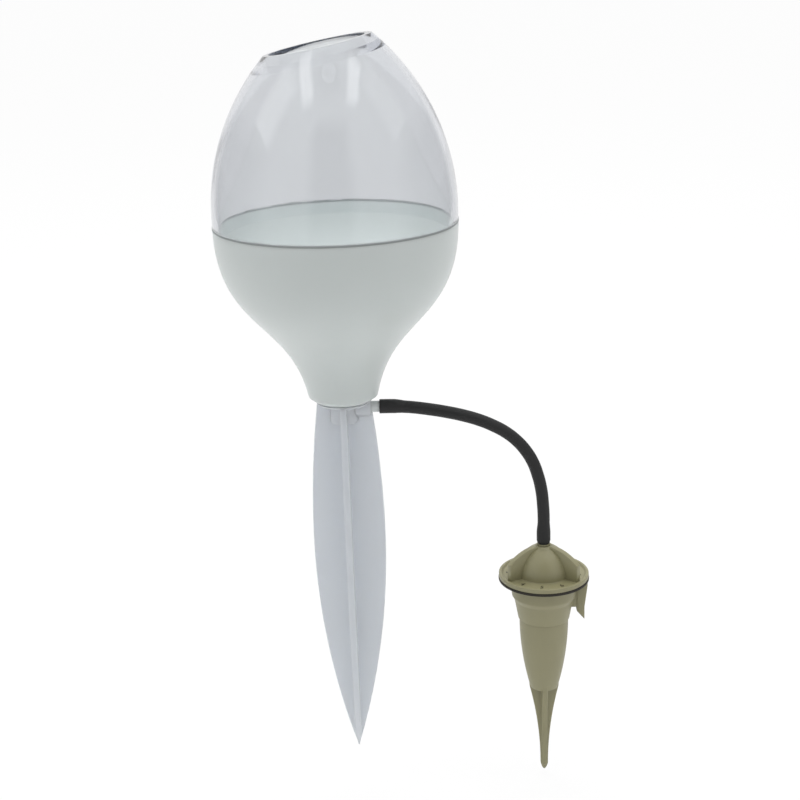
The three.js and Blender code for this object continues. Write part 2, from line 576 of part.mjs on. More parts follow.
const dripper = new THREE.Group();
dripper.position.x = DRIPPER_X;
dripper.add(
  piece('inlet_barb', inletBarb(), KHAKI),
  piece('stem_o_ring', sealRing(STEM_RING_R, STEM_RING_Z, STEM_RING_SECTION), RUBBER),
  piece('dial_cap', dialCap(), KHAKI),
  piece('dial_gasket', dialGasket(), RUBBER),
  piece('metering_disc', meteringDisc(), KHAKI),
  piece('dripper_body', dripperBody(), KHAKI),
  piece('retaining_ring', retainingRing(), BARB_WHITE),
  piece('spike_cone', spikeCone(), KHAKI),
);

const set = new THREE.Group();
set.add(reservoir, ground, piece('hose', hose(), TUBE), dripper);

export default set;
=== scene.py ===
"""A small drip watering set: its finishes, smooth shells, hose, dial numbers, studio and camera.

The CAD frame gives every place and main size, in metres. A length that the frame doesn't give is named
below in millimetres. Each visible piece stands for its CAD node, and what lies hidden inside keeps its
CAD mesh.
"""

import math

import bmesh
import bpy
from mathutils import Matrix, Vector
from mathutils.geometry import interpolate_bezier


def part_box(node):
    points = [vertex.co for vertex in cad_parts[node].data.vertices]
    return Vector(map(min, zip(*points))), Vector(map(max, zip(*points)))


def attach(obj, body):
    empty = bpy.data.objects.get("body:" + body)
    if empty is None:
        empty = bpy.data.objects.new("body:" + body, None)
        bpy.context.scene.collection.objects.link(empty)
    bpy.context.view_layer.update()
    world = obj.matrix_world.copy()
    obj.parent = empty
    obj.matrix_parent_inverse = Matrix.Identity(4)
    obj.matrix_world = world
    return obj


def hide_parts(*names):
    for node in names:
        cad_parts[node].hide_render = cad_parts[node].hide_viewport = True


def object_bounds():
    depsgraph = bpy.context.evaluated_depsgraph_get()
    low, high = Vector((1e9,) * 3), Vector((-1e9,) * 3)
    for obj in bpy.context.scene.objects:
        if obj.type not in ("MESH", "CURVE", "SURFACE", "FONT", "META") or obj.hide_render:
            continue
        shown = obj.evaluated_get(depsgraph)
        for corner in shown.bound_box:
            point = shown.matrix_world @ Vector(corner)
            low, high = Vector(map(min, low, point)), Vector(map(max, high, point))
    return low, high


MM = 0.001

# How finely shapes are stepped, and how they are sewn and creased
SIDES = 144
FINE_SIDES = 192
FILLET_STEPS = 4
FILLET_SHARE = 0.49
BOWL_STEPS = 48
ARCH_STEPS = 40
HALVINGS = 40
STAKE_UPPER_STEPS = 16
STAKE_LOWER_STEPS = 40
HOSE_ROUND_STEPS = 6
HOSE_ROUTE_STEPS = 10
CROWN_STEPS = 32
WING_STEPS = 12
PLATE_EDGE_STEPS = 3
CONE_STEPS = 32
SPIKE_ROOT_STEPS = 4
SPIKE_STEPS = 24
SPIKE_POINT_STEPS = 10
SEWING = 1e-7
CREASE = math.radians(35)
PLATE_CREASE = math.radians(30)

# Reservoir
BOWL_WALL = 2.4 * MM
BOWL_SHOULDER = 49.6 * MM
NECK_R = 17.7 * MM
NECK_RISE = 42.5 * MM
NECK_LEAN = 8.4 * MM
NECK_CHAMFER = 2.4 * MM
FLANGE_R = 13.2 * MM
FLANGE_TOP_R = 14.4 * MM
FLANGE_THICK = 1.2 * MM
FLANGE_DROP = 0.5 * MM
NECK_GAP = 0.5 * MM
SOCKET_R = 10.3 * MM
SOCKET_WALL = 2 * MM
SOCKET_RISE = 14 * MM
DOME_STRAIGHT = 4.8 * MM
DOME_ARC = 111.5 * MM
DOME_WALL = 2.9 * MM
DOME_FOOT = 1 * MM
SPIGOT_GAP = 0.1 * MM
MOUTH_HEIGHT = 84.9 * MM
MOUTH_OFFSET = -5.2 * MM
MOUTH_TILT = math.radians(10.5)
LIP_DEPTH = 5.5 * MM
LIP_SLANT = 3 * MM
LIP_WALL = 3.2 * MM
LIP_FLARE = 4 * MM

# Fillets of the reservoir
BOWL_EDGE = 0.3 * MM
NECK_FOOT_EDGE = 0.8 * MM
NECK_CORNER_EDGE = 0.9 * MM
BOWL_FLOOR_EDGE = 0.5 * MM
SEAM_EDGE = 0.15 * MM
SEAL_EDGE = 0.1 * MM
PLUG_EDGE = 0.1 * MM
LIP_OUTER_EDGE = 0.25 * MM
LIP_INNER_EDGE = 0.4 * MM
LIP_STEP_EDGE = 0.5 * MM

# Stake and outlet
FIN_THICK = 3.3 * MM
FIN_TOP_R = 13.6 * MM
FIN_WIDE_Z = -75 * MM
HUB_R = 7.2 * MM
HUB_DEPTH = 10.8 * MM
BOSS_R = 4.8 * MM
BOSS_END = 13.6 * MM
OUTLET_SPIGOT_R = 10 * MM
OUTLET_BORE_R = 5.2 * MM
STUB_R = 2.9 * MM
STUB_END = 18.3 * MM
STUB_BORE_R = 0.8 * MM
NOSE_R = 1.4 * MM
STUB_ROOT = 2 * MM
FIN_TIP_R = 0.3 * MM
FIN_SLIM = 0.6

# Fillets of the stake and the outlet, and those of all fins as shares of half their thickness
STAKE_EDGE = 0.4 * MM
HUB_EDGE = 0.8 * MM
HUB_ROOT_EDGE = 0.6 * MM
BOSS_EDGE = 0.6 * MM
STUB_EDGE = 0.25 * MM
FIN_EDGE_SHARE = 0.4
FIN_ROOT_SHARE = 0.5

# Hose: its route in the plane Y = 0, as x and z in millimetres, and the share by which the barbs stretch
# it at its first and last points
HOSE_R = 3.2 * MM
HOSE_STRETCH = {0: 0.15, 1: 0.14, 2: 0.07, 3: 0.02, -3: 0.14, -2: 0.14}
HOSE_ROUTE = [
    (18.1, -3.4), (26, -3.6), (28.6, -3.8), (30.2, -4), (34, -4.4), (43, -5.8), (52, -7.6), (61, -9.9),
    (69, -12.6), (76, -15.8), (82.5, -19.7), (88, -24.4), (92.5, -29.8), (96.2, -36.2), (98.8, -43.5),
    (100.7, -52), (101.6, -61), (101.9, -68.5), (101.87, -70.5), (101.8, -75.5), (101.8, -80.3),
    (101.8, -81.8),
]

# Dripper
DIAL_THICK = 1.5 * MM
DIAL_RIM_RISE = 0.9 * MM
DIAL_RIM_WIDTH = 1.4 * MM
CAP_BOSS_R = 4.2 * MM
CAP_DOME_R = 14.2 * MM
CAP_DOME_HEIGHT = 16.4 * MM
CAP_WALL = 2.2 * MM
WING_COUNT = 3
WING_TURN = math.radians(84.5)
WING_THICK = 3.3 * MM
WING_R = 21 * MM
WING_END_HEIGHT = 8.8 * MM
STEM_BORE_R = 3.3 * MM
NUMBER_R = 18.6 * MM
NUMBER_SIZE = 4.2 * MM
NUMBER_RISE = 0.12 * MM
NUMBERS_BETWEEN_WINGS = 3
NUMBER_PITCH = math.radians(33)
NUMBER_FIRST = math.radians(24)
BODY_COLLAR = 8.7 * MM
BODY_R = 17 * MM
BODY_LIP_R = 15.6 * MM
BODY_LIP_DROP = 2.6 * MM
BODY_FOOT_R = 13.6 * MM
BODY_WALL = 2 * MM
METER_R = 15.2 * MM
METER_DROP = 1.5 * MM
PLATE_DROP = 4.5 * MM
SPOUT_NOZZLE_X = 19.5 * MM
SPOUT_NOZZLE_HALF = 2.1 * MM
SPOUT_WEB_THICK = 3.4 * MM
SPOUT_WEB_DROP = 16.8 * MM
SPOUT_TIP_DROP = 24 * MM
SPOUT_SLANT = 5 * MM
CONE_ARC = 155 * MM
CONE_WALL = 1.6 * MM
CONE_HEIGHT = 41.2 * MM
SPIKE_FIN_THICK = 2.8 * MM
SPIKE_FIN_ROOT = 14 * MM
SPIKE_FIN_SHOW = 6 * MM
SPIKE_FIN_PROUD = 0.4 * MM
SPIKE_TIP_R = 2 * MM
SPIKE_POINT = 4 * MM
SPIKE_LEAST_R = 0.4 * MM
SPIKE_SLIM = 0.7
BODY_SPIGOT_WALL = 1.6 * MM

# Fillets of the dripper
DIAL_EDGE = 0.35 * MM
DIAL_RIM_EDGE = 0.5 * MM
DIAL_RIM_INNER_EDGE = 0.4 * MM
DIAL_RIM_ROOT_EDGE = 0.5 * MM
CAP_ROOT_EDGE = 0.8 * MM
WING_EDGE = 0.4 * MM
GASKET_EDGE = 0.4 * MM
BODY_EDGE = 0.3 * MM
BODY_FOOT_EDGE = 0.5 * MM
BODY_LIP_EDGE = 3 * MM
BODY_COLLAR_EDGE = 2.5 * MM
SPOUT_EDGE = 0.5 * MM
SPOUT_WEB_EDGE = 0.4 * MM
CONE_EDGE = 0.4 * MM

# Finishes: how tone and gloss drift over a moulded surface, and the flow ripple of the clear plastic
CLOUD_DETAIL = 3.0
CLOUD_SPAN = (0.3, 0.7)
SHEEN_DRIFT = 0.1
GRAIN_DETAIL = 2.0
RIPPLE_WIDTH = 24 * MM
RIPPLE_DEPTH = 0.15 * MM
RIPPLE_DETAIL = 1.0
CLEAR_HAZE = (0.02, 0.06)

# Studio levels, as shares of white: what lights the object, and what clear plastic shows
WHITE = (1, 1, 1, 1)
SKY_LIGHT = 0.86
SKY_THROUGH = 0.88
FLOOR_THROUGH = 0.75
FLOOR_GREY = (0.9, 0.9, 0.9, 1)
FLOOR_GLOW = 0.9
FLOOR_SIZE = 30
FLOOR_DROP = 2 * MM

# Studio sheets: place from the middle of the dome, width and height in metres, and glow
SOFT_BOXES = {
    "left_box": ((-1.0, -0.16, 0.84), 0.8, 1.1, 2.3),
    "right_box": ((1.0, -0.09, 0.84), 0.8, 1.1, 1.7),
}
TUBES = {
    "left_tube": ((-0.5, -0.4, 1.2), 0.36, 1.0, 3.4),
    "right_tube": ((0.56, -0.4, 1.2), 0.36, 1.0, 3.4),
}
CARDS = {
    "flag": ((0, -1.3, 0.5), 1.25, 2.0, 0.02),
    "left_card": ((-1.2, 0.5, 0.0), 2.4, 1.2, 0.4),
    "right_card": ((1.2, 0.5, 0.0), 2.4, 1.2, 0.4),
}

# Studio lamps, in metres and watts. The snoot's beam goes down through the mouth
OVERHEAD_PLACE = (0, 0.5, 1.6)
OVERHEAD_SIZE = 1.2
OVERHEAD_POWER = 17
SNOOT_PLACE = (0, -0.55, 1.2)
SNOOT_AIM = (0, 0.012, 0.095)
SNOOT_POWER = 48
SNOOT_BEAM_R = 0.07
SNOOT_REACH = 1.24
SNOOT_BLEND = 0.3

# Camera, worked out from the photograph
CAMERA_PLACE = (28.7 * MM, -729 * MM, 233.2 * MM)
CAMERA_PITCH = math.radians(17.77)
CAMERA_ROLL = math.radians(-1.92)
CAMERA_LENS = 67.5
CAMERA_SENSOR = 36
CAMERA_NEAR = 10 * MM
LIGHT_BOUNCES = 32

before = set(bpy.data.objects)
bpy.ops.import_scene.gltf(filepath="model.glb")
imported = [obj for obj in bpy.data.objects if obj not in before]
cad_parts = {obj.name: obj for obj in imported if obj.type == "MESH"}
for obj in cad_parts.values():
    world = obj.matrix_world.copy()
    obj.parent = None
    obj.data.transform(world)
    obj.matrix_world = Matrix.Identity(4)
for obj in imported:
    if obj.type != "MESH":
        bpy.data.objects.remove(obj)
cad_low, cad_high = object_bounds()

bowl_low, bowl_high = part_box("white_bowl")
seal_low, seal_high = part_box("rim_seal")
dome_low, dome_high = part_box("clear_dome")
stake_low, stake_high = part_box("stake")
stub_low, stub_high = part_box("outlet_barb")
cap_low, cap_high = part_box("dial_cap")
gasket_low, gasket_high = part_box("dial_gasket")
body_low, body_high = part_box("dripper_body")
cone_low, cone_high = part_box("spike_cone")

SEAM_R = bowl_high.x
OUTLET_Z = (stub_low.z + stub_high.z) / 2
OUTLET_AXIS = Matrix.Translation((0, 0, OUTLET_Z)) @ Matrix.Rotation(math.pi / 2, 4, "Y")
DRIPPER_X = (cap_low.x + cap_high.x) / 2


def add(tree, kind, feeds=None, **settings):
    """A node with its settings. Feeds are values or other nodes' outputs, by an input's name or place."""
    made = tree.nodes.new(kind)
    for name, value in settings.items():
        setattr(made, name, value)
    for name, value in (feeds or {}).items():
        socket = made.inputs[name]
        if isinstance(value, bpy.types.NodeSocket):
            tree.links.new(value, socket)
        else:
            socket.default_value = value
    return made


def linear(colour):
    """An sRGB hex colour as linear red, green, blue and alpha."""
    shares = [int(colour[i:i + 2], 16) / 255 for i in (1, 3, 5)]
    return [c / 12.92 if c <= 0.04045 else ((c + 0.055) / 1.055) ** 2.4 for c in shares] + [1.0]


def moulded(name, pale, deep, roughness, ior, cloud_mm, grain_mm, grain_depth_mm, **sockets):
    """A moulded plastic or rubber. Its tone drifts over clouds, and fine grain breaks up the gloss."""
    material = bpy.data.materials.new(name)
    material.use_nodes = True
    tree = material.node_tree
    shader = tree.nodes["Principled BSDF"]
    place = add(tree, "ShaderNodeTexCoord").outputs["Object"]
    cloud = add(tree, "ShaderNodeTexNoise", {
        "Vector": place, "Scale": 1 / (cloud_mm * MM), "Detail": CLOUD_DETAIL,
    })
    grain = add(tree, "ShaderNodeTexNoise", {
        "Vector": place, "Scale": 1 / (grain_mm * MM), "Detail": GRAIN_DETAIL,
    })
    tone = add(tree, "ShaderNodeMix", {
        "Factor": cloud.outputs["Fac"], "A": linear(deep), "B": linear(pale),
    }, data_type="RGBA")
    sheen = add(tree, "ShaderNodeMapRange", {
        "Value": cloud.outputs["Fac"], "From Min": CLOUD_SPAN[0], "From Max": CLOUD_SPAN[1],
        "To Min": roughness * (1 - SHEEN_DRIFT), "To Max": roughness * (1 + SHEEN_DRIFT),
    })
    bump = add(tree, "ShaderNodeBump", {
        "Height": grain.outputs["Fac"], "Distance": grain_depth_mm * MM, "Strength": 1.0,
    })
    tree.links.new(tone.outputs["Result"], shader.inputs["Base Color"])
    tree.links.new(sheen.outputs["Result"], shader.inputs["Roughness"])
    tree.links.new(bump.outputs["Normal"], shader.inputs["Normal"])
    shader.inputs["IOR"].default_value = ior
    for socket, value in sockets.items():
        shader.inputs[socket.replace("_", " ")].default_value = value
    return material


def milky(share, depth_mm):
    """The sockets of a plastic that lets a share of the light some way in."""
    return {"Subsurface_Weight": share, "Subsurface_Radius": (1, 1, 1), "Subsurface_Scale": depth_mm * MM}


def absorbing(material, colour, per_mm):
    """A plastic that takes up light on the way through it, so that its thick places look darker."""
    tree = material.node_tree
    tint = add(tree, "ShaderNodeVolumeAbsorption", {"Color": linear(colour), "Density": per_mm / MM})
    tree.links.new(tint.outputs[0], tree.nodes["Material Output"].inputs["Volume"])
    return material


def clear_polystyrene():
    """Moulded clear polystyrene: a faint lavender grey, sharp reflections, a slight flow ripple."""
    material = bpy.data.materials.new("clear_polystyrene")
    material.use_nodes = True
    tree = material.node_tree
    shader = tree.nodes["Principled BSDF"]
    place = add(tree, "ShaderNodeTexCoord").outputs["Object"]
    ripple = add(tree, "ShaderNodeTexNoise", {
        "Vector": place, "Scale": 1 / RIPPLE_WIDTH, "Detail": RIPPLE_DETAIL,
    })
    bump = add(tree, "ShaderNodeBump", {
        "Height": ripple.outputs["Fac"], "Distance": RIPPLE_DEPTH, "Strength": 1.0,
    })
    haze = add(tree, "ShaderNodeMapRange", {
        "Value": ripple.outputs["Fac"], "From Min": CLOUD_SPAN[0], "From Max": CLOUD_SPAN[1],
        "To Min": CLEAR_HAZE[0], "To Max": CLEAR_HAZE[1],
    })
    tree.links.new(bump.outputs["Normal"], shader.inputs["Normal"])
    tree.links.new(haze.outputs["Result"], shader.inputs["Roughness"])
    shader.inputs["Base Color"].default_value = linear("#f9fafb")
    shader.inputs["Transmission Weight"].default_value = 1.0
    shader.inputs["IOR"].default_value = 1.59
    return absorbing(material, "#a2abbf", per_mm=0.04)


FINISHES = {
    "clear": clear_polystyrene(),
    # Glossy white polypropylene: broad soft reflections over a faint green white, and light glows through
    # its wall
    "white": moulded(
        "white_polypropylene", "#c2c8c7", "#bdc2c1", roughness=0.32, ior=1.49,
        cloud_mm=60, grain_mm=3, grain_depth_mm=0.01, **milky(share=0.5, depth_mm=4),
    ),
    # Frosted polyethylene: cloudy lavender grey with a dull gloss, and the light behind it shows
    "frosted": absorbing(moulded(
        "frosted_polyethylene", "#e8ecf1", "#e2e6ea", roughness=0.5, ior=1.51,
        cloud_mm=50, grain_mm=1.5, grain_depth_mm=0.01,
        Transmission_Weight=0.35, **milky(share=0.5, depth_mm=2),
    ), "#c8ccd4", per_mm=0.04),
    # Satin khaki ABS: moulded with a fine spark-eroded grain
    "khaki": moulded(
        "khaki_abs", "#8c8869", "#848060", roughness=0.45, ior=1.54,
        cloud_mm=18, grain_mm=0.6, grain_depth_mm=0.02,
    ),
    # Nitrile rubber: nearly black, dull
    "rubber": moulded(
        "nitrile_rubber", "#2f2c25", "#26241e", roughness=0.7, ior=1.52,
        cloud_mm=10, grain_mm=0.5, grain_depth_mm=0.02, Specular_IOR_Level=0.3,
    ),
    # Soft vinyl hose: near black with a dull sheen
    "hose": moulded(
        "soft_vinyl", "#2e2e2e", "#272728", roughness=0.5, ior=1.53,
        cloud_mm=14, grain_mm=0.8, grain_depth_mm=0.015, Specular_IOR_Level=0.18,
    ),
    # Grey elastomer: matt
    "seal": moulded(
        "grey_elastomer", "#8b9090", "#828787", roughness=0.6, ior=1.5,
        cloud_mm=12, grain_mm=0.5, grain_depth_mm=0.01,
    ),
    # Natural nylon: cloudy grey white
    "nylon": moulded(
        "natural_nylon", "#c6caca", "#bdc2c2", roughness=0.4, ior=1.53,
        cloud_mm=8, grain_mm=0.8, grain_depth_mm=0.01,
    ),
    # Pad-printed olive ink: matt
    "ink": moulded(
        "olive_ink", "#3c382a", "#343124", roughness=0.6, ior=1.5,
        cloud_mm=4, grain_mm=0.4, grain_depth_mm=0.005, Specular_IOR_Level=0.3,
    ),
}


def linked(name, mesh, matrix=Matrix.Identity(4)):
    """A new object for a mesh, with its place in the mesh."""
    mesh.transform(matrix)
    made = bpy.data.objects.new(name, mesh)
    bpy.context.scene.collection.objects.link(made)
    return made


def outwards(mesh):
    """Closes a mesh's seams, turns its faces outwards and keeps only its real corners sharp."""
    shape = bmesh.new()
    shape.from_mesh(mesh)
    bmesh.ops.remove_doubles(shape, verts=shape.verts, dist=SEWING)
    bmesh.ops.dissolve_degenerate(shape, edges=shape.edges, dist=SEWING)
    bmesh.ops.recalc_face_normals(shape, faces=shape.faces)
    for face in shape.faces:
        face.smooth = True
    for edge in shape.edges:
        edge.smooth = len(edge.link_faces) == 2 and edge.calc_face_angle(0) < CREASE
    shape.to_mesh(mesh)
    shape.free()
    return mesh


def rounded(corners, closed=True):
    """An outline from (a, b, fillet) corners. A corner with no fillet stays a point."""
    path = []
    last = len(corners) - 1
    for i, (a, b, fillet) in enumerate(corners):
        here = Vector((a, b))
        if not fillet or not closed and i in (0, last):
            path.append(here)
            continue
        before = Vector(corners[i - 1][:2]) - here
        after = Vector(corners[(i + 1) % len(corners)][:2]) - here
        reach = fillet / math.tan(before.angle(after) / 2)
        start = here + before.normalized() * min(reach, before.length * FILLET_SHARE)
        end = here + after.normalized() * min(reach, after.length * FILLET_SHARE)
        for k in range(FILLET_STEPS + 1):
            t = k / FILLET_STEPS
            path.append(start.lerp(here, t).lerp(here.lerp(end, t), t))
    return path


def plain(points, fillet=0.0):
    """Points as corners that all have one fillet."""
    return [(a, b, fillet) for a, b in points]


def turning_tree():
    """Geometry nodes that turn an outline in the XZ plane about Z, as a grid that is bent round."""
    tree = bpy.data.node_groups.new("turned_piece", "GeometryNodeTree")
    for name, kind in (
        ("Outline", "NodeSocketObject"), ("Points", "NodeSocketInt"),
        ("Sides", "NodeSocketInt"), ("Finish", "NodeSocketMaterial"),
    ):
        tree.interface.new_socket(name, in_out="INPUT", socket_type=kind)
    tree.interface.new_socket("Geometry", in_out="OUTPUT", socket_type="NodeSocketGeometry")
    given = add(tree, "NodeGroupInput").outputs
    rows = add(tree, "ShaderNodeMath", {0: given["Sides"], 1: 1.0}, operation="ADD").outputs[0]
    grid = add(tree, "GeometryNodeMeshGrid", {"Vertices X": rows, "Vertices Y": given["Points"]})
    index = add(tree, "GeometryNodeInputIndex").outputs[0]
    point = add(tree, "ShaderNodeMath", {0: index, 1: given["Points"]}, operation="MODULO").outputs[0]
    row = add(tree, "ShaderNodeMath", {0: index, 1: given["Points"]}, operation="DIVIDE").outputs[0]
    side = add(tree, "ShaderNodeMath", {0: row}, operation="FLOOR").outputs[0]
    step = add(tree, "ShaderNodeMath", {0: math.tau, 1: given["Sides"]}, operation="DIVIDE").outputs[0]
    angle = add(tree, "ShaderNodeMath", {0: side, 1: step}, operation="MULTIPLY").outputs[0]
    outline = add(
        tree, "GeometryNodeObjectInfo", {"Object": given["Outline"]}, transform_space="ORIGINAL",
    )
    sample = add(tree, "GeometryNodeSampleIndex", {
        "Geometry": outline.outputs["Geometry"],
        "Value": add(tree, "GeometryNodeInputPosition").outputs[0],
        "Index": point,
    }, data_type="FLOAT_VECTOR", domain="POINT")
    turn = add(tree, "ShaderNodeVectorRotate", {
        "Vector": sample.outputs[0], "Angle": angle,
    }, rotation_type="Z_AXIS")
    bent = add(tree, "GeometryNodeSetPosition", {
        "Geometry": grid.outputs["Mesh"], "Position": turn.outputs[0],
    })
    sewn = add(tree, "GeometryNodeMergeByDistance", {"Geometry": bent.outputs[0], "Distance": SEWING})
    real = add(tree, "GeometryNodeRealizeInstances", {"Geometry": sewn.outputs[0]})
    dressed = add(tree, "GeometryNodeSetMaterial", {
        "Geometry": real.outputs[0], "Material": given["Finish"],
    })
    add(tree, "NodeGroupOutput", {"Geometry": dressed.outputs[0]})
    return tree


def spread_tree():
    """Geometry nodes that stand copies of a piece round the Z axis."""
    tree = bpy.data.node_groups.new("copies_round_axis", "GeometryNodeTree")
    for name, kind in (
        ("Piece", "NodeSocketObject"), ("Copies", "NodeSocketInt"),
        ("First Turn", "NodeSocketFloat"), ("Finish", "NodeSocketMaterial"),
    ):
        tree.interface.new_socket(name, in_out="INPUT", socket_type=kind)
    tree.interface.new_socket("Geometry", in_out="OUTPUT", socket_type="NodeSocketGeometry")
    given = add(tree, "NodeGroupInput").outputs
    points = add(tree, "GeometryNodePoints", {"Count": given["Copies"]})
    index = add(tree, "GeometryNodeInputIndex").outputs[0]
    step = add(tree, "ShaderNodeMath", {0: math.tau, 1: given["Copies"]}, operation="DIVIDE").outputs[0]
    turn = add(tree, "ShaderNodeMath", {
        0: index, 1: step, 2: given["First Turn"],
    }, operation="MULTIPLY_ADD")
    aim = add(tree, "ShaderNodeCombineXYZ", {"Z": turn.outputs[0]})
    piece = add(tree, "GeometryNodeObjectInfo", {"Object": given["Piece"]}, transform_space="ORIGINAL")
    copies = add(tree, "GeometryNodeInstanceOnPoints", {
        "Points": points.outputs[0], "Instance": piece.outputs["Geometry"], "Rotation": aim.outputs[0],
    })
    real = add(tree, "GeometryNodeRealizeInstances", {"Geometry": copies.outputs[0]})
    dressed = add(tree, "GeometryNodeSetMaterial", {
        "Geometry": real.outputs[0], "Material": given["Finish"],
    })
    add(tree, "NodeGroupOutput", {"Geometry": dressed.outputs[0]})
    return tree


TURNING = turning_tree()
SPREADING = spread_tree()


def grown(name, tree, **inputs):
    """The plain mesh that a geometry node tree makes from its inputs."""
    made = linked(name, bpy.data.meshes.new(name))
    maker = made.modifiers.new(name, "NODES")
    maker.node_group = tree
    for item in tree.interface.items_tree:
        if item.in_out == "INPUT":
            maker[item.identifier] = inputs[item.name.replace(" ", "_").lower()]
    mesh = bpy.data.meshes.new_from_object(made.evaluated_get(bpy.context.evaluated_depsgraph_get()))
    bpy.data.objects.remove(made)
    mesh.name = name
    mesh.materials.pop(index=0)
    return outwards(mesh)


def turned(name, outline, finish, matrix=Matrix.Identity(4), closed=True, sides=SIDES):
    """The mesh of an outline of (radius, height) points turned about Z, then moved by a matrix."""
    path = [Vector((r, 0, z)) for r, z in outline]
    if closed:
        path.append(path[0])
    wire = bpy.data.meshes.new(name + "_outline")
    wire.from_pydata(path, [(i, i + 1) for i in range(len(path) - 1)], [])
    pattern = linked(wire.name, wire)
    mesh = grown(name, TURNING, outline=pattern, points=len(path), sides=sides, finish=FINISHES[finish])
    bpy.data.objects.remove(pattern)
    mesh.transform(matrix)
    return mesh


def skinned(name, rows, finish, wrap):
    """A mesh over closed loops of points. Wrapped loops join end to end, and others are capped."""
    count = len(rows[0])
    faces = []
    for i in range(len(rows) if wrap else len(rows) - 1):
        near, far = i * count, (i + 1) % len(rows) * count
        faces += [(near + k, near + (k + 1) % count, far + (k + 1) % count, far + k) for k in range(count)]
    if not wrap:
        faces += [tuple(range(count)), tuple(range((len(rows) - 1) * count, len(rows) * count))]
    mesh = bpy.data.meshes.new(name)
    mesh.from_pydata([p for row in rows for p in row], [], faces)
    mesh.materials.append(FINISHES[finish])
    return outwards(mesh)


def plate(name, outline, thick, edge, finish):
    """A plate in the XZ plane, centred on Y = 0, with rounded edges."""
    shape = bmesh.new()
    near = [shape.verts.new((x, -thick / 2, z)) for x, z in outline]
    far = [shape.verts.new((x, thick / 2, z)) for x, z in outline]
    count = len(outline)
    shape.faces.new(near)
    shape.faces.new(far)
    for i in range(count):
        shape.faces.new((near[i], near[(i + 1) % count], far[(i + 1) % count], far[i]))
    bmesh.ops.recalc_face_normals(shape, faces=shape.faces)
    sharp = [e for e in shape.edges if e.calc_face_angle(0) > PLATE_CREASE]
    bmesh.ops.bevel(
        shape, geom=sharp, offset=edge, segments=PLATE_EDGE_STEPS, profile=0.5, affect="EDGES",
    )
    mesh = bpy.data.meshes.new(name)
    shape.to_mesh(mesh)
    shape.free()
    mesh.materials.append(FINISHES[finish])
    return outwards(mesh)


def joined(name, *meshes):
    """One object of several meshes that share a finish."""
    shape = bmesh.new()
    for mesh in meshes:
        shape.from_mesh(mesh)
    whole = bpy.data.meshes.new(name)
    shape.to_mesh(whole)
    shape.free()
    whole.materials.append(meshes[0].materials[0])
    return linked(name, whole)


def fitted(piece, node, body):
    """Puts a finished piece on its body in place of its CAD node."""
    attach(piece, body)
    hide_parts(node)
    return piece


def finned(reach_at, half_at, levels, finish, name):
    """Four fins as one cross-shaped bar. The reach and the half thickness follow the level."""
    rows = []
    for z in levels:
        reach, half = reach_at(z), half_at(z)
        edge, root = half * FIN_EDGE_SHARE, half * FIN_ROOT_SHARE
        corners = []
        for k in range(4):
            spin = Matrix.Rotation(k * math.pi / 2, 2)
            for x, y, fillet in ((reach, -half, edge), (reach, half, edge), (half, half, root)):
                corners.append((*(spin @ Vector((x, y))), fillet))
        rows.append([Vector((x, y, z)) for x, y in rounded(corners)])
    return skinned(name, rows, finish, wrap=False)


def steps(start, end, count):
    """Evenly spaced values, both ends included."""
    return [start + (end - start) * i / count for i in range(count + 1)]


def bowl_curve():
    """The bowl's outside from its neck to its rim, as points and inward normals."""
    corner_z = bowl_low.z + NECK_CHAMFER
    points = interpolate_bezier(
        Vector((NECK_R, corner_z)), Vector((NECK_R + NECK_LEAN, corner_z + NECK_RISE)),
        Vector((SEAM_R, bowl_high.z - BOWL_SHOULDER)), Vector((SEAM_R, bowl_high.z)), BOWL_STEPS + 1,
    )
    inside = []
    for i, point in enumerate(points):
        along = (points[min(i + 1, BOWL_STEPS)] - points[max(i - 1, 0)]).normalized()
        inner = point + BOWL_WALL * Vector((-along.y, along.x))
        inside.append(Vector((inner.x, min(inner.y, bowl_high.z))))
    return points, inside


def white_bowl():
    """The white lower half of the reservoir, with the socket that sits on the stake's spigot."""
    outside, inside = bowl_curve()
    socket = SOCKET_R + SOCKET_WALL
    top = bowl_low.z + SOCKET_RISE
    corners = [
        (SOCKET_R, bowl_low.z, BOWL_EDGE), (FLANGE_TOP_R, bowl_low.z, NECK_FOOT_EDGE),
        (*outside[0], NECK_CORNER_EDGE),
    ]
    corners += plain(outside[1:-1])
    corners += [(*outside[-1], SEAM_EDGE), (*inside[-1], SEAM_EDGE)]
    corners += plain(inside[-2:0:-1])
    corners += [
        (*inside[0], BOWL_FLOOR_EDGE), (socket, inside[0].y, BOWL_EDGE), (socket, top, BOWL_EDGE),
        (SOCKET_R, top, BOWL_EDGE),
    ]
    mesh = turned("white_bowl_shell", rounded(corners), "white", sides=FINE_SIDES)
    fitted(joined("white_bowl_shell", mesh), "white_bowl", "reservoir")


def rim_seal():
    """The grey ring in the seam between the bowl and the dome."""
    inner, outer = SEAM_R - BOWL_WALL, seal_high.x
    corners = [(inner, seal_low.z), (outer, seal_low.z), (outer, seal_high.z), (inner, seal_high.z)]
    mesh = turned("rim_seal_ring", rounded(plain(corners, SEAL_EDGE)), "seal", sides=FINE_SIDES)
    fitted(joined("rim_seal_ring", mesh), "rim_seal", "reservoir")


